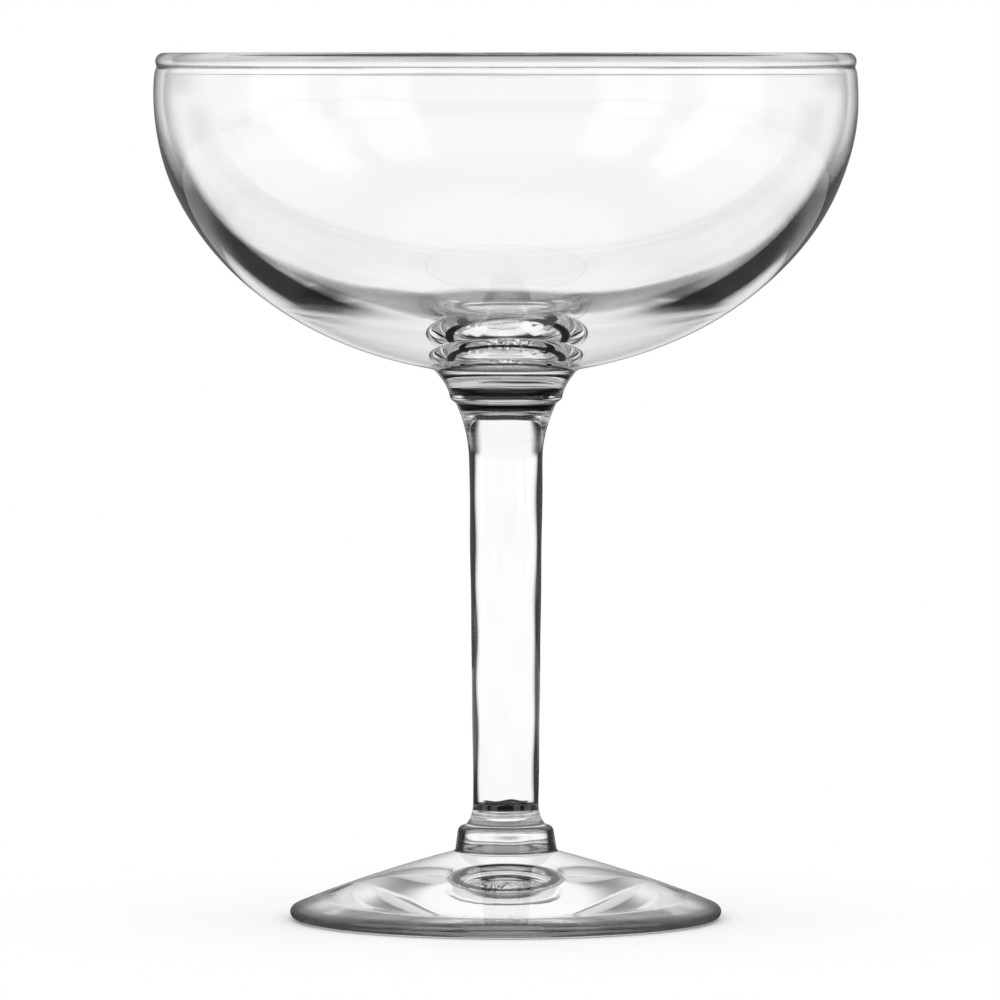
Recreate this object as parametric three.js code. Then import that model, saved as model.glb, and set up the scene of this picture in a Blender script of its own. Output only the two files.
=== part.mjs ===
// A footed coupe glass for margaritas, in clear soda-lime glass.
//
// The glass is put together the way stemware is: separate gathers of glass stand on one another, and each
// is fused hot to the next over a flat round seat. From the table up they are the foot, the foot button,
// the stem, the bowl collar and the bowl. Each piece is turned about +Z in its own frame, with its lower
// face at height zero, and is then set where the piece below it ends.
//
// Millimetres, +Z up. The origin is on the table, in the middle of the foot. Nothing on the glass moves.
import * as THREE from "three";

// Foot
const FOOT_DIAMETER = 80;
const FOOT_HEIGHT = 12.4; // table to the seat of the button
const FOOT_EDGE_THICKNESS = 2.4; // the edge is rounded to half of this
const FOOT_CROWN = 0.5; // how far the upper face swells above a plain cone
const FOOT_SLOPE = 20; // fall of the upper face where it runs into the edge, in degrees
const RESTING_RING_WIDTH = 7; // the flat ring that stands on the table
const KICK_HEIGHT = 3.2; // hollow under the middle of the foot

// Foot button
const BUTTON_HEIGHT = 4.8;
const BUTTON_EDGE_RADIUS = 1.1;
const BUTTON_LEDGE = 0.4; // flat left round the lower end of the stem
const BUTTON_SPREAD = 0.5; // how far its side leans outwards to the foot

// Stem
const STEM_LENGTH = 78.4;
const STEM_LOWER_DIAMETER = 12.1; // of the tapered shaft
const STEM_UPPER_DIAMETER = 13.6;
const STEM_LOWER_SEAT_DIAMETER = 14.8; // on the button
const STEM_LOWER_FLARE_HEIGHT = 4.4;
const STEM_UPPER_SEAT_DIAMETER = 18.8; // under the collar
const STEM_UPPER_FLARE_HEIGHT = 11;

// Bowl collar
const COLLAR_HEIGHT = 6;
const COLLAR_UPPER_DIAMETER = 26.6; // the seat of the bowl
const COLLAR_WAIST_HEIGHT = 2.6; // its side starts to spread below this
const COLLAR_EDGE_RADIUS = 0.9;
const COLLAR_LEDGE = 0.1; // flat left round the upper end of the stem

// Bowl
const BELLY_DIAMETER = 130; // widest outside
const BELLY_HEIGHT = 50.2; // seat to the widest place
const RIM_RISE = 8.2; // widest place to the top of the rim
const WALL = 1.8; // at the widest place
const BOWL_FLOOR_THICKNESS = 5; // over the middle of the seat
const RIM_BEAD_DIAMETER = 3.2; // the fire-polished lip
const RIM_BEAD_PROUD = 0.2; // how far the lip stands out from the wall
const RIM_BEAD_JOIN = 45; // where the lip leaves the wall, in degrees below its middle

// Faces of each turned piece: round the axis, and along the curves of its outline
const FACES_ROUND = 48;
const STEPS_ON_WALL = 16;
const STEPS_ON_SWELL = 8;
const STEPS_ON_EDGE = 4;
const STEPS_ON_LIP = 10;

// Finish
const GLASS_COLOUR = 0xf1f6f5;
const GLASS_OPACITY = 0.35;
const BLOWN_ROUGHNESS = 0.03;
const DRAWN_ROUGHNESS = 0.05;
const PRESSED_ROUGHNESS = 0.06;

// Widths that follow from the ends of the stem
const BUTTON_UPPER_DIAMETER = STEM_LOWER_SEAT_DIAMETER + 2 * (BUTTON_LEDGE + BUTTON_EDGE_RADIUS);
const BUTTON_LOWER_DIAMETER = BUTTON_UPPER_DIAMETER + 2 * BUTTON_SPREAD;
const COLLAR_LOWER_DIAMETER = STEM_UPPER_SEAT_DIAMETER + 2 * (COLLAR_LEDGE + COLLAR_EDGE_RADIUS);

// Where each piece stands
const BUTTON_SEAT = FOOT_HEIGHT;
const STEM_SEAT = BUTTON_SEAT + BUTTON_HEIGHT;
const COLLAR_SEAT = STEM_SEAT + STEM_LENGTH;
const BOWL_SEAT = COLLAR_SEAT + COLLAR_HEIGHT;

const AXIS = 0; // the outlines are drawn as radius and height, so the axis is at radius zero

function point(radius, height) {
  return new THREE.Vector2(radius, height);
}

function line(from, to) {
  return new THREE.LineCurve(from, to);
}

// A round stretch of an outline about a centre, from one angle to another in degrees. Zero points outwards
// from the axis and 90 points up.
function arc(centre, radiusOut, radiusUp, fromDegrees, toDegrees) {
  const from = THREE.MathUtils.degToRad(fromDegrees);
  const to = THREE.MathUtils.degToRad(toDegrees);
  return new THREE.EllipseCurve(centre.x, centre.y, radiusOut, radiusUp, from, to, to < from);
}

// A smooth bend between two points that leaves one and reaches the other in the direction of a third
function bend(from, towards, to) {
  return new THREE.QuadraticBezierCurve(from, towards, to);
}

function endOf(curve) {
  return curve.getPoint(1);
}

// The points of an outline, from curves that follow one another. Each comes with its number of steps.
function pointsAlong(stretches) {
  return stretches.flatMap(([curve, steps], i) => curve.getPoints(steps).slice(i === 0 ? 0 : 1));
}

// A solid of revolution about +Z. Its outline starts on the axis, goes round the glass and ends on the axis.
function turned(stretches) {
  const outline = pointsAlong(stretches);
  return new THREE.LatheGeometry(outline, FACES_ROUND).rotateX(Math.PI / 2);
}

// A low dome with a rounded edge. It stands on a flat ring, inside which the underside is hollowed.
function footGeometry() {
  const edgeRadius = FOOT_EDGE_THICKNESS / 2;
  const ringOuter = FOOT_DIAMETER / 2 - edgeRadius;
  const ringInner = ringOuter - RESTING_RING_WIDTH;
  const kickTop = point(AXIS, KICK_HEIGHT);
  const kick = bend(kickTop, point(ringInner / 2, KICK_HEIGHT), point(ringInner, 0));
  const ring = line(endOf(kick), point(ringOuter, 0));
  const edge = arc(point(ringOuter, edgeRadius), edgeRadius, edgeRadius, -90, 90 - FOOT_SLOPE);
  const seatEdge = point(BUTTON_LOWER_DIAMETER / 2, FOOT_HEIGHT);
  const middle = endOf(edge).lerp(seatEdge, 0.5);
  const upperFace = bend(endOf(edge), point(middle.x, middle.y + 2 * FOOT_CROWN), seatEdge);
  const seat = line(seatEdge, point(AXIS, FOOT_HEIGHT));
  return turned([
    [kick, STEPS_ON_SWELL],
    [ring, 1],
    [edge, 2 * STEPS_ON_EDGE],
    [upperFace, STEPS_ON_SWELL],
    [seat, 1],
  ]);
}

// A short drum with a rounded shoulder, between the foot and the stem
function buttonGeometry() {
  const lowerEdge = point(BUTTON_LOWER_DIAMETER / 2, 0);
  const ledgeRadius = BUTTON_UPPER_DIAMETER / 2 - BUTTON_EDGE_RADIUS;
  const shoulderCentre = point(ledgeRadius, BUTTON_HEIGHT - BUTTON_EDGE_RADIUS);
  const shoulder = arc(shoulderCentre, BUTTON_EDGE_RADIUS, BUTTON_EDGE_RADIUS, 0, 90);
  return turned([
    [line(point(AXIS, 0), lowerEdge), 1],
    [line(lowerEdge, shoulder.getPoint(0)), 1],
    [shoulder, STEPS_ON_EDGE],
    [line(endOf(shoulder), point(AXIS, BUTTON_HEIGHT)), 1],
  ]);
}

// A tapered rod, flared at both ends: a little where it meets the button, and in a trumpet under the collar
function stemGeometry() {
  const lowerSeatEdge = point(STEM_LOWER_SEAT_DIAMETER / 2, 0);
  const shaftBottom = point(STEM_LOWER_DIAMETER / 2, STEM_LOWER_FLARE_HEIGHT);
  const shaftTop = point(STEM_UPPER_DIAMETER / 2, STEM_LENGTH - STEM_UPPER_FLARE_HEIGHT);
  const upperSeatEdge = point(STEM_UPPER_SEAT_DIAMETER / 2, STEM_LENGTH);
  const lowerTurn = point(shaftBottom.x, STEM_LOWER_FLARE_HEIGHT / 3);
  const upperTurn = point(shaftTop.x, STEM_LENGTH - STEM_UPPER_FLARE_HEIGHT / 2);
  const lowerFlare = bend(lowerSeatEdge, lowerTurn, shaftBottom);
  const upperFlare = bend(shaftTop, upperTurn, upperSeatEdge);
  return turned([
    [line(point(AXIS, 0), lowerSeatEdge), 1],
    [lowerFlare, STEPS_ON_EDGE],
    [line(shaftBottom, shaftTop), 1],
    [upperFlare, STEPS_ON_SWELL],
    [line(upperSeatEdge, point(AXIS, STEM_LENGTH)), 1],
  ]);
}

// A ring of solid glass that is rounded below and spreads to the seat of the bowl above
function collarGeometry() {
  const lowerRadius = COLLAR_LOWER_DIAMETER / 2;
  const lowerFace = line(point(AXIS, 0), point(lowerRadius - COLLAR_EDGE_RADIUS, 0));
  const edgeCentre = point(lowerRadius - COLLAR_EDGE_RADIUS, COLLAR_EDGE_RADIUS);
  const edge = arc(edgeCentre, COLLAR_EDGE_RADIUS, COLLAR_EDGE_RADIUS, -90, 0);
  const seatEdge = point(COLLAR_UPPER_DIAMETER / 2, COLLAR_HEIGHT);
  const spread = bend(endOf(edge), point(lowerRadius, COLLAR_WAIST_HEIGHT), seatEdge);
  return turned([
    [lowerFace, 1],
    [edge, STEPS_ON_EDGE],
    [spread, STEPS_ON_SWELL],
    [line(seatEdge, point(AXIS, COLLAR_HEIGHT)), 1],
  ]);
}

// Half the width of an ellipse at a height above its middle, given as a share of its half height
function widthAt(halfWidth, share) {
  return halfWidth * Math.sqrt(1 - share * share);
}

// The angle, in degrees, at which an ellipse of that half height passes a height above its middle
function angleAt(height, halfHeight) {
  return THREE.MathUtils.radToDeg(Math.asin(height / halfHeight));
}

// A wide bowl between two ellipses about one middle. The outer one is cut flat for the seat, and the wall
// thickens towards the floor and ends above in a rolled lip.
function bowlGeometry() {
  const middle = point(AXIS, BELLY_HEIGHT);
  const seatRadius = COLLAR_UPPER_DIAMETER / 2;
  const outerHalfWidth = BELLY_DIAMETER / 2;
  const outerHalfHeight = BELLY_HEIGHT / widthAt(1, seatRadius / outerHalfWidth);
  const innerHalfWidth = outerHalfWidth - WALL;
  const innerHalfHeight = BELLY_HEIGHT - BOWL_FLOOR_THICKNESS;

  const lipRadius = RIM_BEAD_DIAMETER / 2;
  const wallRise = RIM_RISE - RIM_BEAD_DIAMETER; // widest place to the lower side of the lip
  const lipRise = RIM_RISE - lipRadius;
  const outsideAtLip = widthAt(outerHalfWidth, lipRise / outerHalfHeight);
  const lipCentre = point(outsideAtLip + RIM_BEAD_PROUD - lipRadius, BELLY_HEIGHT + lipRise);

  const seatAngle = angleAt(-BELLY_HEIGHT, outerHalfHeight);
  const outside = arc(middle, outerHalfWidth, outerHalfHeight, seatAngle, angleAt(wallRise, outerHalfHeight));
  const lip = arc(lipCentre, lipRadius, lipRadius, -RIM_BEAD_JOIN, 180 + RIM_BEAD_JOIN);
  const inside = arc(middle, innerHalfWidth, innerHalfHeight, angleAt(wallRise, innerHalfHeight), -90);
  return turned([
    [line(point(AXIS, 0), outside.getPoint(0)), 1],
    [outside, STEPS_ON_WALL],
    [line(endOf(outside), lip.getPoint(0)), 1],
    [lip, STEPS_ON_LIP],
    [line(endOf(lip), inside.getPoint(0)), 1],
    [inside, STEPS_ON_WALL],
  ]);
}

// Clear glass. The pressed pieces are a little less bright than the fire-polished bowl.
function clearGlass(roughness) {
  return new THREE.MeshStandardMaterial({
    color: GLASS_COLOUR,
    roughness,
    metalness: 0,
    transparent: true,
    opacity: GLASS_OPACITY,
  });
}

function piece(name, geometry, material, seatHeight) {
  const mesh = new THREE.Mesh(geometry, material);
  mesh.name = name;
  mesh.position.z = seatHeight;
  return mesh;
}

const glass = new THREE.Group();
glass.add(
  piece("foot", footGeometry(), clearGlass(PRESSED_ROUGHNESS), 0),
  piece("foot_button", buttonGeometry(), clearGlass(PRESSED_ROUGHNESS), BUTTON_SEAT),
  piece("stem", stemGeometry(), clearGlass(DRAWN_ROUGHNESS), STEM_SEAT),
  piece("bowl_collar", collarGeometry(), clearGlass(DRAWN_ROUGHNESS), COLLAR_SEAT),
  piece("bowl", bowlGeometry(), clearGlass(BLOWN_ROUGHNESS), BOWL_SEAT),
);

export default glass;
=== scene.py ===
import math

import bpy
import numpy as np
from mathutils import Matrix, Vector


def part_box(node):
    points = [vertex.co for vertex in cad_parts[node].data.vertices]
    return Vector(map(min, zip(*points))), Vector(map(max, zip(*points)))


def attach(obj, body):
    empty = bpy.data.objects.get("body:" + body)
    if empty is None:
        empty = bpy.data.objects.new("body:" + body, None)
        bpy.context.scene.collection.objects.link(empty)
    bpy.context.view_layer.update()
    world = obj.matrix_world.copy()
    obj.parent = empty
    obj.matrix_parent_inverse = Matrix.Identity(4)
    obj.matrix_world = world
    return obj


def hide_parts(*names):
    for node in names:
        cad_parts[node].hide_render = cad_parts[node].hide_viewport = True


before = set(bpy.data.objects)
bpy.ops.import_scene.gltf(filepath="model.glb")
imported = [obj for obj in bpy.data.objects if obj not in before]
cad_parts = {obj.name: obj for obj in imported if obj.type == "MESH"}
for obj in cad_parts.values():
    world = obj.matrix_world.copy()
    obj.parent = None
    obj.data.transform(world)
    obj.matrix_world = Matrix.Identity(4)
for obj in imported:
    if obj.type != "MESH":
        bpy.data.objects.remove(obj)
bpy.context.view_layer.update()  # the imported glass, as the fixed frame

mm = 0.001  # outlines are drawn in millimetres, meshes are in metres
print("frame loaded:", ", ".join(sorted(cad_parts)))


# top and radius of a CAD piece, in millimetres

def topOf(name):
    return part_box(name)[1][2] / mm


def radius(name):
    low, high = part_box(name)
    return (high[0] - low[0]) / 2 / mm


footTop = topOf("foot")
buttonTop = topOf("foot_button")
stemTop = topOf("stem")
collarTop = topOf("bowl_collar")
rimTop = topOf("bowl")


# stretches of an outline: rows of radius and height

def straight(a, b, steps=40):
    t = np.linspace(0, 1, steps)[:, None]
    return (1 - t) * np.array(a) + t * np.array(b)


# quadratic curve that leaves a and reaches b in the direction of a third point
def bend(a, towards, b, steps=120):
    t = np.linspace(0, 1, steps)[:, None]
    return (1 - t) ** 2 * np.array(a) + 2 * t * (1 - t) * np.array(towards) + t ** 2 * np.array(b)


# part of an ellipse about a centre; 0 degrees points out from the axis and 90 points up
def arc(centre, out, up, fromDegrees, toDegrees, steps=240):
    t = np.radians(np.linspace(fromDegrees, toDegrees, steps))
    return np.stack([centre[0] + out * np.cos(t), centre[1] + up * np.sin(t)], axis=1)


footShape = {"edgeThickness": 2.4, "slope": 20, "crown": 0.5, "ringWidth": 7, "kick": 3.2}


# hollow under the foot, flat resting ring, rounded edge, low dome up to the button
def footOutline():
    s = footShape
    edge = s["edgeThickness"] / 2
    ringOuter = radius("foot") - edge
    ringInner = ringOuter - s["ringWidth"]
    kick = bend((0, s["kick"]), (ringInner / 2, s["kick"]), (ringInner, 0))
    ring = straight((ringInner, 0), (ringOuter, 0))
    rounded = arc((ringOuter, edge), edge, edge, -90, 90 - s["slope"])
    seat = np.array((radius("foot_button"), footTop))
    middle = (rounded[-1] + seat) / 2 + (0, 2 * s["crown"])
    return [kick, ring, rounded, bend(rounded[-1], middle, seat)]


buttonShape = {"edgeRadius": 1.1, "ledge": 0.4, "spread": 0.5}


# short drum that leans in a little, with a rounded shoulder
def buttonOutline():
    s = buttonShape
    side = radius("foot_button") - s["spread"]
    edge = s["edgeRadius"]
    shoulder = arc((side - edge, buttonTop - edge), edge, edge, 0, 90)
    return [straight((radius("foot_button"), footTop), shoulder[0]), shoulder]


stemShape = {"lowerWidth": 12.1, "upperWidth": 13.6, "lowerFlare": 4.4, "upperFlare": 11,
             "lowerAim": 3, "upperAim": 2}


# tapered rod between two flares; each flare aims at the side of the rod, at its length over its aim
def stemOutline():
    s = stemShape
    lower, upper = s["lowerWidth"] / 2, s["upperWidth"] / 2
    shoulder = buttonShape["spread"] + buttonShape["edgeRadius"] + buttonShape["ledge"]
    foot = (radius("foot_button") - shoulder, buttonTop)
    shaftBottom = (lower, buttonTop + s["lowerFlare"])
    shaftTop = (upper, stemTop - s["upperFlare"])
    lowerAim = (lower, buttonTop + s["lowerFlare"] / s["lowerAim"])
    lowerFlare = bend(foot, lowerAim, shaftBottom)
    upperAim = (upper, stemTop - s["upperFlare"] / s["upperAim"])
    upperFlare = bend(shaftTop, upperAim, (radius("stem"), stemTop))
    return [lowerFlare, straight(shaftBottom, shaftTop), upperFlare]


collarShape = {"edgeRadius": 0.9, "ledge": 0.1, "waist": 2.6}


# solid ring, rounded below, that spreads to the underside of the bowl
def collarOutline():
    s = collarShape
    flat = radius("stem") + s["ledge"]
    edge = arc((flat, stemTop + s["edgeRadius"]), s["edgeRadius"], s["edgeRadius"], -90, 0)
    spread = bend(edge[-1], (edge[-1][0], stemTop + s["waist"]), (radius("bowl_collar"), collarTop))
    return [edge, spread]


bowlShape = {"rimRise": 8.2, "wall": 1.8, "floor": 5, "lip": 3.2, "lipProud": 0.2, "lipJoin": 45}


# middle height of the hollow, and its half width and half height
def hollowEllipse():
    belly = rimTop - bowlShape["rimRise"]
    return belly, (radius("bowl") - bowlShape["wall"], belly - collarTop - bowlShape["floor"])


# outer ellipse from the collar up, rolled lip, inner ellipse down to the axis
def bowlOutline():
    s = bowlShape
    belly, (innerWidth, innerHeight) = hollowEllipse()
    outerWidth = radius("bowl")
    outerHeight = (belly - collarTop) / math.sqrt(1 - (radius("bowl_collar") / outerWidth) ** 2)
    lip = s["lip"] / 2
    wallRise = s["rimRise"] - s["lip"]
    lipRise = s["rimRise"] - lip
    lipOut = outerWidth * math.sqrt(1 - (lipRise / outerHeight) ** 2) + s["lipProud"] - lip

    def angle(rise, height):
        return math.degrees(math.asin(rise / height))

    seatAngle = angle(collarTop - belly, outerHeight)
    outside = arc((0, belly), outerWidth, outerHeight, seatAngle, angle(wallRise, outerHeight))
    rolled = arc((lipOut, belly + lipRise), lip, lip, -s["lipJoin"], 180 + s["lipJoin"])
    inside = arc((0, belly), innerWidth, innerHeight, angle(wallRise, innerHeight), -90)
    return [outside, rolled, inside]


# the whole cross-section, from the middle of the hollow under the foot round to the floor of the bowl

polish = {"softness": 0.4, "step": 0.05, "reach": 4}


def lengthAlong(outline):
    return np.concatenate([[0], np.cumsum(np.hypot(*np.diff(outline, axis=0).T))])


# fire polish: points at equal steps along the length, each averaged with its neighbours under a bell curve,
# so corners melt and straight stretches stay; past both ends the outline is mirrored in the axis;
# the bell reaches a number of softnesses to each side
def firePolish(outline):
    along = lengthAlong(outline)
    at = np.linspace(0, along[-1], int(along[-1] / polish["step"]))
    even = np.stack([np.interp(at, along, outline[:, k]) for k in (0, 1)], axis=1)
    reach = int(polish["reach"] * polish["softness"] / polish["step"])
    offset = np.arange(-reach, reach + 1) * polish["step"] / polish["softness"]
    bell = np.exp(-offset ** 2 / 2)
    bell /= bell.sum()
    mirrored = np.concatenate([even[reach:0:-1] * (-1, 1), even, even[-2:-reach - 2:-1] * (-1, 1)])
    soft = np.stack([np.convolve(mirrored[:, k], bell, mode="valid") for k in (0, 1)], axis=1)
    soft[[0, -1], 0] = 0
    return soft


stretches = footOutline() + buttonOutline() + stemOutline() + collarOutline() + bowlOutline()
glassOutline = firePolish(np.concatenate(stretches))
print("cross-section:", len(glassOutline), "points,", round(lengthAlong(glassOutline)[-1], 1), "mm long")


# keeps a point where the outline has run a step or turned by an angle, whichever comes first
def thin(outline, step, turn):
    move = np.diff(outline, axis=0)
    heading = np.unwrap(np.arctan2(move[:, 1], move[:, 0]))
    bent = np.abs(np.diff(heading, prepend=heading[:1]))
    cost = np.cumsum(np.hypot(*move.T) / step + bent / math.radians(turn))
    cost = np.concatenate([[0], cost])
    at = np.linspace(0, cost[-1], math.ceil(cost[-1]))
    return np.stack([np.interp(at, cost, outline[:, k]) for k in (0, 1)], axis=1)


# the stretch of the cross-section between two joints on the outside; None runs on to the axis
def cut(lower, upper):
    edge = int(np.argmax(np.where(glassOutline[:, 1] < footTop, glassOutline[:, 0], 0)))
    belly = int(np.argmax(glassOutline[:, 0]))
    side = glassOutline[edge:belly]

    def joint(height):
        at = edge + int(np.searchsorted(side[:, 1], height))
        return at, np.array([[np.interp(height, side[:, 1], side[:, 0]), height]])

    start, first = joint(lower) if lower else (0, glassOutline[:1])
    stop, last = joint(upper) if upper else (len(glassOutline) - 1, glassOutline[-1:])
    return np.concatenate([first, glassOutline[start + 1:stop - 1], last])


# slow unevenness of hand-warmed glass: a few waves round the axis that drift with height, calm near the axis
wobble = {"depth": 0.03, "waves": (2, 3, 5, 7), "drift": (31, 47, 23, 17), "calm": 5, "seed": 4}


def unevenness(turn, height):
    draw = np.random.default_rng(wobble["seed"])
    total = np.zeros(np.broadcast(turn, height).shape)
    for waves, drift in zip(wobble["waves"], wobble["drift"]):
        phase = draw.uniform(0, 2 * np.pi, 2)
        total = total + np.sin(waves * turn + phase[0]) * np.sin(2 * np.pi * height / drift + phase[1])
    return wobble["depth"] * total


# a turned piece: its outline carried round the axis in whole arrays, closed by a fan at each end
# fused says which ends are joint faces; they are flat and take the second and third material
def turnPiece(name, outline, around, fused, materials):
    turn = np.linspace(0, 2 * np.pi, around, endpoint=False)[None, :]
    ends = np.array([[0, 0, outline[0, 1]], [0, 0, outline[-1, 1]]])
    rings = outline[int(not fused[0]):len(outline) - int(not fused[1])]
    waves = unevenness(turn, rings[:, 1:]) * np.minimum(1, rings[:, :1] / wobble["calm"])
    reach = rings[:, :1] + waves
    grid = np.stack([reach * np.cos(turn), reach * np.sin(turn), rings[:, 1:] + 0 * turn], axis=2)
    points = np.concatenate([ends[:1], grid.reshape(-1, 3), ends[1:]]) * mm

    row = np.arange(len(rings) - 1)[:, None] * around + 1
    here = np.arange(around)[None, :]
    beside = (here + 1) % around
    corners = [row + here, row + beside, row + around + beside, row + around + here]
    quads = np.stack(corners, axis=2).reshape(-1, 4)
    last = len(points) - 1
    top = last - around
    bottomFan = np.stack([0 * here, 1 + beside, 1 + here], axis=2).reshape(-1, 3)
    topFan = np.stack([0 * here + last, top + here, top + beside], axis=2).reshape(-1, 3)

    mesh = bpy.data.meshes.new(name)
    mesh.from_pydata(points.tolist(), [], bottomFan.tolist() + quads.tolist() + topFan.tolist())
    joint = np.zeros(len(mesh.polygons), dtype=np.int32)
    joint[:around] = int(fused[0])
    joint[len(joint) - around:] = 2 * int(fused[1])
    mesh.polygons.foreach_set("use_smooth", joint == 0)
    for material in materials:
        mesh.materials.append(material)
    mesh.polygons.foreach_set("material_index", joint)
    mesh.update()
    piece = bpy.data.objects.new(name, mesh)
    bpy.context.scene.collection.objects.link(piece)
    return piece


# node helpers

# a node without a place stands in a row with the others, in the order of making
def node(tree, kind, place=None, **values):
    made = tree.nodes.new(kind)
    made.location = place or (180 * len(tree.nodes), -900)
    for key, value in values.items():
        setattr(made, key, value)
    return made


def setInputs(made, **values):
    for key, value in values.items():
        made.inputs[key.replace("_", " ")].default_value = value
    return made


# sums, smooth ramps and mixes in a node tree; each takes numbers or sockets and gives a socket
def nodeMaths(tree):
    def put(value, socket):
        if isinstance(value, (int, float)):
            socket.default_value = value
        else:
            tree.links.new(value, socket)

    def calc(kind, a, b=0.0):
        made = node(tree, "ShaderNodeMath", operation=kind)
        put(a, made.inputs[0])
        put(b, made.inputs[1])
        return made.outputs[0]

    def ramp(value, low, high, first=0.0, last=1.0):
        made = node(tree, "ShaderNodeMapRange", interpolation_type="SMOOTHSTEP")
        keys = ("Value", "From Min", "From Max", "To Min", "To Max")
        for key, wanted in zip(keys, (value, low, high, first, last)):
            put(wanted, made.inputs[key])
        return made.outputs["Result"]

    def pick(share, a, b):
        made = node(tree, "ShaderNodeMix")
        for k, wanted in ((0, share), (2, a), (3, b)):
            put(wanted, made.inputs[k])
        return made.outputs[0]

    return calc, ramp, pick


# distance of a place from the axis of the glass
def fromAxis(tree, place, spot):
    flat = node(tree, "ShaderNodeVectorMath", spot, operation="MULTIPLY")
    flat.inputs[1].default_value = (1, 1, 0)
    across = node(tree, "ShaderNodeVectorMath", (spot[0] + 150, spot[1]), operation="LENGTH")
    tree.links.new(place, flat.inputs[0])
    tree.links.new(flat.outputs[0], across.inputs[0])
    return across.outputs["Value"]


# a node group with a place or none, numbers with their start values, and one number as its result
def newGroup(name, place, start, result):
    tree = bpy.data.node_groups.new(name, "ShaderNodeTree")
    if place:
        tree.interface.new_socket(place, in_out="INPUT", socket_type="NodeSocketVector")
    for label, value in start.items():
        socket = tree.interface.new_socket(label, in_out="INPUT", socket_type="NodeSocketFloat")
        socket.default_value = value
    tree.interface.new_socket(result, in_out="OUTPUT", socket_type="NodeSocketFloat")
    return tree, node(tree, "NodeGroupInput", (-800, 0)), node(tree, "NodeGroupOutput", (600, 0))


streakSquash = (1, 1, 0.06)  # the height is squeezed, so streaks run long


# surface of cooled glass: broad ripple, with finer streaks drawn along the height
def rippleGroup():
    start = {"Broad": 60.0, "Streaks": 300.0, "Streak Share": 0.3}
    tree, given, out = newGroup("glassRipple", "Place", start, "Height")
    link = tree.links.new
    pick = nodeMaths(tree)[2]
    broad = setInputs(node(tree, "ShaderNodeTexNoise", (-400, 150)), Detail=1.0, Roughness=0.4)
    drawn = node(tree, "ShaderNodeVectorMath", (-600, -150), operation="MULTIPLY")
    drawn.inputs[1].default_value = streakSquash
    streaks = setInputs(node(tree, "ShaderNodeTexNoise", (-400, -150)), Detail=2.0, Roughness=0.5)
    link(given.outputs["Place"], broad.inputs["Vector"])
    link(given.outputs["Broad"], broad.inputs["Scale"])
    link(given.outputs["Place"], drawn.inputs[0])
    link(drawn.outputs[0], streaks.inputs["Vector"])
    link(given.outputs["Streaks"], streaks.inputs["Scale"])
    mixed = pick(given.outputs["Streak Share"], broad.outputs["Fac"], streaks.outputs["Fac"])
    link(mixed, out.inputs["Height"])
    return tree


hollowEdge = (1.006, 1.016)  # scaled lengths at which the hollow ends and the outside begins


# painted shade at the edges of the glass, from how far each face turns from the view (Layer Weight): a thin
# dark outline, with another strength low down, and a dark band between two heights on the outside; the band
# climbs towards the outline with height, and fades at its far side
# the hollow is an ellipsoid about a middle on the axis; its surface is where the scaled place has length 1
def edgeGroup():
    start = {"Facing": 0.0, "Line From": 0.75, "Line To": 0.95, "Line Share": 0.8,
             "Foot Line From": -1.0, "Foot Line To": -0.9, "Foot Line Share": 1.0,
             "Band From": 0.5, "Band To": 0.7, "Fade From": 2.0, "Fade To": 3.0,
             "Climb": 0.0, "Climb At": 0.0, "Low From": -1.0, "Low To": -0.9, "Low Share": 1.0,
             "High From": 0.9, "High To": 1.0, "High Share": 1.0, "Hollow Share": 1.0}
    tree, given, out = newGroup("paintedEdgeShade", "Place", start, "Mask")
    link = tree.links.new
    calc, ramp = nodeMaths(tree)[:2]
    get = given.outputs
    parts = node(tree, "ShaderNodeSeparateXYZ", (-600, -200))
    link(get["Place"], parts.inputs[0])
    facing = get["Facing"]
    height = parts.outputs["Z"]

    line = ramp(facing, get["Line From"], get["Line To"], 0.0, get["Line Share"])
    footLine = ramp(height, get["Foot Line From"], get["Foot Line To"], get["Foot Line Share"], 1.0)
    outlined = calc("MULTIPLY", line, footLine)

    climb = calc("MULTIPLY", calc("SUBTRACT", height, get["Climb At"]), get["Climb"])
    climbed = calc("SUBTRACT", facing, climb)
    band = ramp(climbed, get["Band From"], get["Band To"])
    fade = ramp(climbed, get["Fade From"], get["Fade To"], 1.0, 0.0)
    low = ramp(height, get["Low From"], get["Low To"], get["Low Share"], 1.0)
    high = ramp(height, get["High From"], get["High To"], 1.0, get["High Share"])

    middle, size = hollowEllipse()
    centred = node(tree, "ShaderNodeVectorMath", (-600, -600), operation="SUBTRACT")
    centred.inputs[1].default_value = (0, 0, middle * mm)
    scaled = node(tree, "ShaderNodeVectorMath", (-450, -600), operation="DIVIDE")
    scaled.inputs[1].default_value = (size[0] * mm, size[0] * mm, size[1] * mm)
    length = node(tree, "ShaderNodeVectorMath", (-300, -600), operation="LENGTH")
    hollow = node(tree, "ShaderNodeMapRange", (-100, -600))
    setInputs(hollow, From_Min=hollowEdge[0], From_Max=hollowEdge[1])
    link(get["Place"], centred.inputs[0])
    link(centred.outputs[0], scaled.inputs[0])
    link(scaled.outputs[0], length.inputs[0])
    link(length.outputs["Value"], hollow.inputs["Value"])
    link(get["Hollow Share"], hollow.inputs["To Min"])

    reach = calc("MULTIPLY", calc("MULTIPLY", low, high), hollow.outputs["Result"])
    banded = calc("MULTIPLY", calc("MULTIPLY", band, fade), reach)
    link(calc("MAXIMUM", outlined, banded), out.inputs["Mask"])
    return tree
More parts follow.
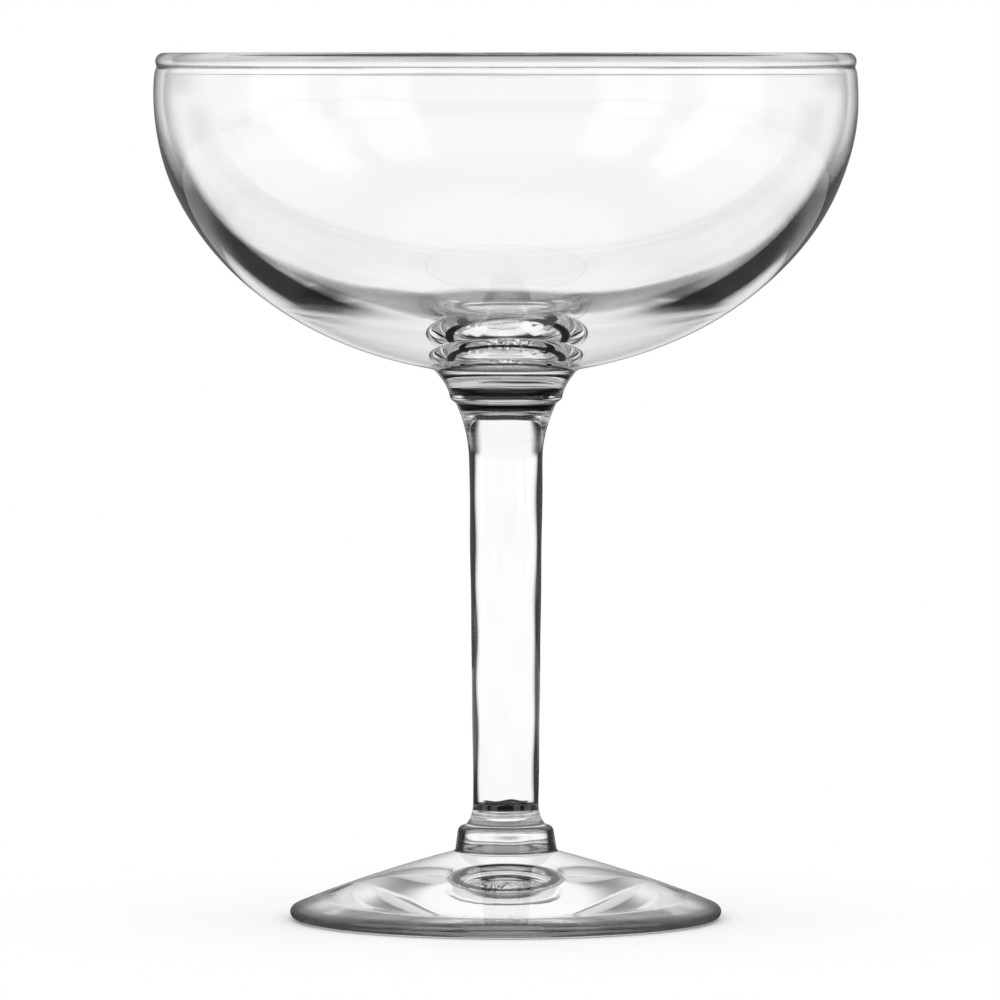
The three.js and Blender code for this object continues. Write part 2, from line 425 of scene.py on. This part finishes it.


# a soft line of painted shade round the glass: full within half a width of a middle, then fading
def lineGroup():
    start = {"At": 0.0, "Middle": 0.0, "Half": 0.001, "Soft": 0.001, "Share": 0.5}
    tree, given, out = newGroup("paintedShadeLine", None, start, "Mask")
    calc, ramp = nodeMaths(tree)[:2]
    get = given.outputs
    off = calc("ABSOLUTE", calc("SUBTRACT", get["At"], get["Middle"]))
    end = calc("ADD", get["Half"], get["Soft"])
    tree.links.new(ramp(off, get["Half"], end, get["Share"], 0.0), out.inputs["Mask"])
    return tree


# smears are drawn out along the height; a mark comes or goes between the two numbers of its pair
wearLook = {"wipe": (1, 1, 0.35), "smear": (0.52, 0.72), "speck": (0.05, 0.09), "grit": (0.4, 0.6),
            "gritScale": 1600.0}


# marks of use, as roughness: smears left by a cloth, dried specks of water, scuffs under the resting ring
def wearGroup():
    start = {"Smear Scale": 35.0, "Smear Share": 0.02, "Speck Scale": 420.0, "Speck Share": 0.03,
             "Scuff Height": 0.0006, "Scuff Share": 0.25}
    tree, given, out = newGroup("handlingWear", "Place", start, "Roughness")
    link = tree.links.new
    calc, ramp = nodeMaths(tree)[:2]
    get = given.outputs
    wiped = node(tree, "ShaderNodeVectorMath", (-600, 300), operation="MULTIPLY")
    wiped.inputs[1].default_value = wearLook["wipe"]
    smear = node(tree, "ShaderNodeTexNoise", (-400, 300))
    setInputs(smear, Detail=3.0, Roughness=0.6, Distortion=0.8)
    speck = node(tree, "ShaderNodeTexVoronoi", (-400, 0))
    grit = setInputs(node(tree, "ShaderNodeTexNoise", (-400, -300)), Scale=wearLook["gritScale"], Detail=2.0)
    parts = node(tree, "ShaderNodeSeparateXYZ", (-600, -500))
    link(get["Place"], wiped.inputs[0])
    link(wiped.outputs[0], smear.inputs["Vector"])
    link(get["Smear Scale"], smear.inputs["Scale"])
    link(get["Place"], speck.inputs["Vector"])
    link(get["Speck Scale"], speck.inputs["Scale"])
    link(get["Place"], grit.inputs["Vector"])
    link(get["Place"], parts.inputs[0])
    smeared = ramp(smear.outputs["Fac"], *wearLook["smear"], 0.0, get["Smear Share"])
    specked = ramp(speck.outputs["Distance"], *wearLook["speck"], get["Speck Share"], 0.0)
    scuffed = ramp(parts.outputs["Z"], 0.0, get["Scuff Height"], get["Scuff Share"], 0.0)
    gritty = calc("MULTIPLY", scuffed, ramp(grit.outputs["Fac"], *wearLook["grit"]))
    most = calc("MAXIMUM", smeared, specked)
    link(calc("MAXIMUM", most, gritty), out.inputs["Roughness"])
    return tree


glassRipple = rippleGroup()
# painted shade along the edges of the glass
paintedEdgeShade = edgeGroup()
# painted shade in soft lines round the glass
paintedShadeLine = lineGroup()
handlingWear = wearGroup()
glassIndex = 1.52  # refraction of soda-lime glass


# clear glass: a dark tint of painted shade where the edge mask and the lines are strong, ripple as bump,
# wear as roughness
def glassMaterial(name, s):
    material = bpy.data.materials.new(name)
    material.use_nodes = True
    tree = material.node_tree
    tree.nodes.clear()
    link = tree.links.new
    calc = nodeMaths(tree)[0]
    place = node(tree, "ShaderNodeTexCoord", (-1200, 0)).outputs["Object"]
    shader = node(tree, "ShaderNodeBsdfPrincipled", (200, 0))
    setInputs(shader, IOR=glassIndex, Metallic=0.0, Transmission_Weight=1.0)
    out = node(tree, "ShaderNodeOutputMaterial", (500, 0))
    link(shader.outputs[0], out.inputs["Surface"])

    def use(group, values, spot):
        made = setInputs(node(tree, "ShaderNodeGroup", spot, node_tree=group), **values)
        if "Place" in made.inputs:
            link(place, made.inputs["Place"])
        return made

    facing = setInputs(node(tree, "ShaderNodeLayerWeight", (-900, 300)), Blend=0.5)
    edge = use(paintedEdgeShade, s["edge"], (-700, 300))
    link(facing.outputs["Facing"], edge.inputs["Facing"])
    paintedShadeMask = edge.outputs["Mask"]
    parts = node(tree, "ShaderNodeSeparateXYZ", (-1000, 600))
    link(place, parts.inputs[0])
    reading = {"height": parts.outputs["Z"], "radius": fromAxis(tree, place, (-1000, 800))}
    # lines of painted shade at given heights or radii
    for k, (kind, middle, half, soft, share) in enumerate(s["paintedShadeLines"]):
        sizes = {"Middle": middle * mm, "Half": half * mm, "Soft": soft * mm, "Share": share}
        line = use(paintedShadeLine, sizes, (-700, 600 + 250 * k))
        link(reading[kind], line.inputs["At"])
        paintedShadeMask = calc("MAXIMUM", paintedShadeMask, line.outputs["Mask"])
    # painted shade: the glass colour turns dark where the mask is strong
    paintedShadeTint = node(tree, "ShaderNodeMix", (-400, 300), data_type="RGBA")
    paintedShadeTint.inputs["A"].default_value = (*s["clear"], 1)
    paintedShadeTint.inputs["B"].default_value = (*s["paintedShadeColour"], 1)
    link(paintedShadeMask, paintedShadeTint.inputs["Factor"])
    link(paintedShadeTint.outputs["Result"], shader.inputs["Base Color"])

    wave = use(glassRipple, s["ripple"], (-700, -300))
    bump = node(tree, "ShaderNodeBump", (-300, -300))
    setInputs(bump, Strength=1.0, Distance=s["rippleDepth"] * mm)
    link(wave.outputs["Height"], bump.inputs["Height"])
    link(bump.outputs["Normal"], shader.inputs["Normal"])
    wear = use(handlingWear, s["wear"], (-700, -600))
    link(wear.outputs["Roughness"], shader.inputs["Roughness"])
    return material


# the face of a fused joint: glass runs on through it; in the foot and bowl joints a fine dark ring of
# painted shade is put in it, seen through the glass as dark refracted rings
seam = {"half": 0.5, "soft": 0.4, "dark": (0.002, 0.002, 0.002), "rough": 0.6,
        "footInset": 1.1, "footShare": 0.7, "bowlInset": 3.6, "bowlShare": 0.95}


def seamMaterial(name, middle=0.0, share=0.0):
    material = bpy.data.materials.new(name)
    material.use_nodes = True
    tree = material.node_tree
    shader = tree.nodes["Principled BSDF"]
    setInputs(shader, Base_Color=(*seam["dark"], 1), Roughness=seam["rough"])
    setInputs(shader, Specular_IOR_Level=0.0, Alpha=0.0)
    if not share:
        return material
    place = node(tree, "ShaderNodeTexCoord", (-900, 0)).outputs["Object"]
    ring = node(tree, "ShaderNodeGroup", (-300, 0), node_tree=paintedShadeLine)
    setInputs(ring, Middle=middle * mm, Half=seam["half"] * mm, Soft=seam["soft"] * mm, Share=share)
    tree.links.new(fromAxis(tree, place, (-700, 0)), ring.inputs["At"])
    tree.links.new(ring.outputs["Mask"], shader.inputs["Alpha"])
    return material


# the glass of each piece: two colours, clear and the painted shade; the painted shade at its edges with
# heights in metres, lines of painted shade, ripple, wear a line has what it follows, its middle, half width
# and softness in millimetres, and its share of the painted shade

clearGlass = (0.995, 0.995, 0.995)
# the colour of painted shade
paintedShadeGlass = (0.001, 0.001, 0.001)

bowlGlass = glassMaterial("bowlGlass", {
    "clear": clearGlass, "paintedShadeColour": paintedShadeGlass,
    "edge": {"Line From": 0.72, "Line To": 0.92, "Line Share": 0.9,
             "Foot Line From": 0.122, "Foot Line To": 0.14, "Foot Line Share": 0.25,
             "Band From": 0.53, "Band To": 0.6, "Fade From": 0.74, "Fade To": 0.84,
             "Climb": 4.0, "Climb At": 0.118, "Low From": 0.1105, "Low To": 0.1145, "Low Share": 0.0,
             "High From": 0.134, "High To": 0.147, "High Share": 0.1, "Hollow Share": 0.1},
    "paintedShadeLines": (("height", collarTop + 0.3, 0.2, 1.1, 1.0), ("height", rimTop - 0.7, 0.6, 0.6, 0.5)),
    "ripple": {"Broad": 55.0, "Streaks": 260.0, "Streak Share": 0.15}, "rippleDepth": 0.012,
    "wear": {"Smear Scale": 30.0, "Smear Share": 0.015, "Speck Scale": 300.0, "Speck Share": 0.02}})
collarGlass = glassMaterial("collarGlass", {
    "clear": clearGlass, "paintedShadeColour": paintedShadeGlass,
    "edge": {"Line From": 0.72, "Line To": 0.92, "Line Share": 0.95, "Band From": 0.6, "Band To": 0.8},
    "paintedShadeLines": (("height", stemTop + 2.0, 0.55, 0.35, 1.0),),
    "ripple": {"Broad": 90.0, "Streaks": 500.0, "Streak Share": 0.3}, "rippleDepth": 0.004,
    "wear": {"Smear Scale": 60.0, "Smear Share": 0.015, "Speck Scale": 500.0, "Speck Share": 0.02}})
stemGlass = glassMaterial("stemGlass", {
    "clear": clearGlass, "paintedShadeColour": paintedShadeGlass,
    "edge": {"Line Share": 0.95, "Band From": 0.34, "Band To": 0.5,
             "Low From": 0.0195, "Low To": 0.0215, "Low Share": 0.3,
             "High From": 0.086, "High To": 0.093, "High Share": 0.6},
    "paintedShadeLines": (("height", buttonTop + 3.4, 0.4, 0.35, 1.0), ("height", buttonTop + 0.7, 0.3, 0.3, 0.75),
              ("height", stemTop - 0.9, 0.55, 0.4, 1.0)),
    "ripple": {"Broad": 90.0, "Streaks": 500.0, "Streak Share": 0.5}, "rippleDepth": 0.004,
    "wear": {"Smear Scale": 60.0, "Smear Share": 0.02, "Speck Scale": 500.0, "Speck Share": 0.02}})
buttonGlass = glassMaterial("buttonGlass", {
    "clear": clearGlass, "paintedShadeColour": paintedShadeGlass,
    "edge": {"Line Share": 1.0, "Band From": 0.34, "Band To": 0.5},
    "paintedShadeLines": (("height", buttonTop, 0.2, 0.3, 0.6), ("height", footTop + 0.2, 0.25, 0.3, 0.2)),
    "ripple": {"Broad": 90.0, "Streaks": 500.0, "Streak Share": 0.3}, "rippleDepth": 0.004,
    "wear": {"Smear Scale": 60.0, "Smear Share": 0.015, "Speck Scale": 500.0, "Speck Share": 0.02}})
footGlass = glassMaterial("footGlass", {
    "clear": clearGlass, "paintedShadeColour": (0.004, 0.004, 0.004),
    "edge": {"Line From": 0.55, "Line To": 0.85, "Line Share": 0.16,
             "Foot Line From": 0.0022, "Foot Line To": 0.0034, "Foot Line Share": 6.2,
             "Band From": 0.7, "Band To": 0.95, "High From": 0.002, "High To": 0.004, "High Share": 0.0},
    "paintedShadeLines": (("radius", radius("foot"), 1.1, 1.0, 0.9),),
    "ripple": {"Broad": 80.0, "Streaks": 300.0, "Streak Share": 0.2}, "rippleDepth": 0.012,
    "wear": {"Smear Scale": 50.0, "Smear Share": 0.02, "Speck Scale": 400.0, "Speck Share": 0.025}})
clearSeam = seamMaterial("clearSeam")
# fine dark rings of painted shade inside the foot and bowl joints
footSeamShade = seamMaterial("footSeamShade", radius("foot_button") - seam["footInset"], seam["footShare"])
bowlSeamShade = seamMaterial("bowlSeamShade", radius("bowl_collar") - seam["bowlInset"], seam["bowlShare"])
seams = {footTop: footSeamShade, buttonTop: clearSeam, stemTop: clearSeam, collarTop: bowlSeamShade}
print("materials made")


# the pieces, from the table up: slot, glass, joints below and above, faces round the axis, longest step
# along the outline in millimetres, sharpest turn in degrees

pieces = {
    "foot": {"slot": "foot_glass", "glass": footGlass, "joints": (None, footTop),
             "around": 256, "step": 0.7, "turn": 4},
    "foot_button": {"slot": "stem_glass", "glass": buttonGlass, "joints": (footTop, buttonTop),
                    "around": 160, "step": 0.3, "turn": 4},
    "stem": {"slot": "stem_glass", "glass": stemGlass, "joints": (buttonTop, stemTop),
             "around": 160, "step": 0.6, "turn": 3},
    "bowl_collar": {"slot": "stem_glass", "glass": collarGlass, "joints": (stemTop, collarTop),
                    "around": 192, "step": 0.3, "turn": 4},
    "bowl": {"slot": "bowl_glass", "glass": bowlGlass, "joints": (collarTop, None),
             "around": 256, "step": 1.0, "turn": 3},
}

for name, s in pieces.items():
    outline = thin(cut(*s["joints"]), s["step"], s["turn"])
    fused = tuple(height is not None for height in s["joints"])
    materials = [s["glass"]] + [seams.get(height, s["glass"]) for height in s["joints"]]
    piece = turnPiece(name + "Glass", outline, s["around"], fused, materials)
    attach(piece, "root")
    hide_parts(name)
    print("turned", name, len(outline), "rings,", len(piece.data.polygons), "faces")


# round white table top; the glass stands behind its middle. Near the glass it takes a shadow, and further
# off it glows white. Through the glass, a strip of it behind the glass is painted dark as painted shade, and
# mirrored in the glass it is dimmed near by as a painted darker reflection. Lengths are in metres, and the
# strip's turn is in radians

table = {"radius": 0.9, "behind": 0.25, "below": 0.0002, "around": 256, "white": 0.99, "fade": (0.045, 0.12),
         "mirroredNear": 0.08, "mirroredFar": 0.65, "far": (0.26, 0.44),
         "strip": 0.04, "stripFrom": (0.058, 0.072), "stripTo": (0.262, 0.282), "stripTurn": (0.45, 0.6)}


def tableTop():
    s = table
    turn = np.linspace(0, 2 * np.pi, s["around"], endpoint=False)
    points = np.stack([s["radius"] * np.cos(turn), s["radius"] * np.sin(turn) - s["behind"],
                       0 * turn - s["below"]], axis=1)
    mesh = bpy.data.meshes.new("tableTop")
    mesh.from_pydata(points.tolist(), [], [list(range(s["around"]))])
    top = bpy.data.objects.new("tableTop", mesh)
    bpy.context.scene.collection.objects.link(top)

    material = bpy.data.materials.new("whiteTable")
    material.use_nodes = True
    tree = material.node_tree
    tree.nodes.clear()
    link = tree.links.new
    calc, ramp, pick = nodeMaths(tree)
    place = node(tree, "ShaderNodeTexCoord").outputs["Object"]
    parts = node(tree, "ShaderNodeSeparateXYZ")
    length = node(tree, "ShaderNodeVectorMath", operation="LENGTH")
    link(place, parts.inputs[0])
    link(place, length.inputs[0])
    away = length.outputs["Value"]
    turned = calc("ABSOLUTE", calc("ARCTAN2", parts.outputs["X"], parts.outputs["Y"]))
    path = node(tree, "ShaderNodeLightPath")
    through = path.outputs["Is Transmission Ray"]
    # a refracted ray counts as glossy too
    surface = calc("MAXIMUM", calc("SUBTRACT", path.outputs["Is Glossy Ray"], through), 0.0)

    # painted shade: seen through the glass, the table is dark in a strip behind it
    strip = calc("MULTIPLY", ramp(away, *s["stripFrom"]), ramp(away, *s["stripTo"], 1.0, 0.0))
    strip = calc("MULTIPLY", strip, ramp(turned, *s["stripTurn"], 1.0, 0.0))
    strip = calc("MULTIPLY", strip, through)
    # painted shade in reflections: mirrored in the glass, the table is dim near by
    level = pick(surface, 1.0, ramp(away, *s["far"], s["mirroredNear"], s["mirroredFar"]))
    level = calc("MULTIPLY", level, pick(strip, 1.0, s["strip"]))
    glowing = calc("MAXIMUM", calc("MAXIMUM", ramp(away, *s["fade"]), surface), strip)
    paint = setInputs(node(tree, "ShaderNodeBsdfDiffuse"), Color=(s["white"],) * 3 + (1,))
    glow = node(tree, "ShaderNodeEmission")
    blend = node(tree, "ShaderNodeMixShader")
    out = node(tree, "ShaderNodeOutputMaterial")
    link(level, glow.inputs["Strength"])
    link(glowing, blend.inputs[0])
    link(paint.outputs[0], blend.inputs[1])
    link(glow.outputs[0], blend.inputs[2])
    link(blend.outputs[0], out.inputs["Surface"])
    mesh.materials.append(material)


tableTop()

# studio: white to the camera and to the table. Through the glass there are four white walls with grey
# corners, and a dark ceiling with a light in its middle. In its surface there is a dim room with upright
# soft boxes: middle, half width, strength. Angles are in degrees

studio = {"halfWall": 45.0, "wallFrom": 26.0, "wallTo": 44.0, "corner": 0.12,
          "horizonFrom": -1.0, "horizonTo": 4.0, "cornerDrop": 24.0, "dropFrom": 16.0, "dropTo": 38.0,
          "ceiling": 0.02, "ceilingFrom": 34.0, "ceilingTo": 54.0,
          "top": 0.9, "topFrom": 56.0, "topTo": 66.0,
          "behind": 0.4, "behindFrom": 138.0, "behindTo": 155.0, "fill": 1.0,
          "mirrored": 0.2, "overhead": 0.95, "overheadFrom": 8.0, "overheadTo": 30.0,
          "boxes": ((100.0, 9.0, 1.2), (137.0, 9.0, 1.2)), "boxSoft": 6.0, "boxFade": 45.0, "boxTop": 55.0}


def studioWorld():
    s = studio
    world = bpy.data.worlds.new("studio")
    bpy.context.scene.world = world
    world.use_nodes = True
    tree = world.node_tree
    tree.nodes.clear()
    link = tree.links.new
    calc, ramp, pick = nodeMaths(tree)
    place = node(tree, "ShaderNodeTexCoord")
    parts = node(tree, "ShaderNodeSeparateXYZ")
    link(place.outputs["Generated"], parts.inputs[0])
    turned = calc("ABSOLUTE", calc("DEGREES", calc("ARCTAN2", parts.outputs["X"], parts.outputs["Y"])))
    raised = calc("DEGREES", calc("ARCSINE", parts.outputs["Z"]))

    def aboveHorizon(level):
        return ramp(raised, s["horizonFrom"], s["horizonTo"], 1.0, level)

    off = calc("PINGPONG", turned, s["halfWall"])  # 0 at the middle of a wall, half a wall in a corner
    room = ramp(off, s["wallFrom"], s["wallTo"], 1.0, aboveHorizon(s["corner"]))
    lowered = calc("ADD", raised, ramp(off, s["dropFrom"], s["dropTo"], 0.0, s["cornerDrop"]))
    room = calc("MULTIPLY", room, ramp(lowered, s["ceilingFrom"], s["ceilingTo"], 1.0, s["ceiling"]))
    backWall = ramp(turned, s["behindFrom"], s["behindTo"], 1.0, aboveHorizon(s["behind"]))
    room = calc("MULTIPLY", room, backWall)
    room = calc("MAXIMUM", room, ramp(raised, s["topFrom"], s["topTo"], 0.0, s["top"]))

    mirrored = ramp(raised, s["overheadFrom"], s["overheadTo"], s["mirrored"], s["overhead"])
    for middle, half, strength in s["boxes"]:
        across = calc("ABSOLUTE", calc("SUBTRACT", turned, middle))
        box = ramp(across, half, half + s["boxSoft"], strength, 0.0)
        box = calc("MULTIPLY", box, ramp(raised, s["boxFade"], s["boxTop"], 1.0, 0.0))
        mirrored = calc("ADD", mirrored, box)

    path = node(tree, "ShaderNodeLightPath")
    level = pick(path.outputs["Is Glossy Ray"], s["fill"], mirrored)
    level = pick(path.outputs["Is Transmission Ray"], level, room)  # a refracted ray counts as glossy too
    scattered = calc("MINIMUM", path.outputs["Diffuse Depth"], 1.0)  # light that reaches the table
    level = pick(scattered, level, s["fill"])
    level = pick(path.outputs["Is Camera Ray"], level, 1.0)
    glow = node(tree, "ShaderNodeBackground")
    out = node(tree, "ShaderNodeOutputWorld")
    link(level, glow.inputs["Color"])
    link(glow.outputs[0], out.inputs["Surface"])


studioWorld()

# camera at the height of the rim, square to the glass; pixel is the size of one at the glass, in metres

view = {"away": 1.62, "height": 0.158, "aside": -0.0011, "aim": 0.0774, "pixel": 0.0001846, "pixels": 1000,
        "sensor": 36.0, "farEnd": 100}


def placeCamera():
    lens = bpy.data.cameras.new("camera")
    lens.sensor_width = view["sensor"]
    lens.lens = view["away"] / view["pixel"] * view["sensor"] / view["pixels"]
    lens.clip_end = view["farEnd"]
    camera = bpy.data.objects.new("camera", lens)
    camera.location = (view["aside"], -view["away"], view["height"])
    down = math.atan2(view["height"] - view["aim"], view["away"])
    camera.rotation_euler = (math.pi / 2 - down, 0, 0)
    bpy.context.scene.collection.objects.link(camera)
    bpy.context.scene.camera = camera


placeCamera()

scene = bpy.context.scene
scene.view_settings.view_transform = "Standard"
scene.cycles.blur_glossy = 0.0  # light through the foot reaches the table undimmed
scene.cycles.max_bounces = 32  # light crosses many faces inside the glass
scene.cycles.transmission_bounces = 32
scene.cycles.glossy_bounces = 24
scene.cycles.transparent_max_bounces = 32
print("studio and camera set")
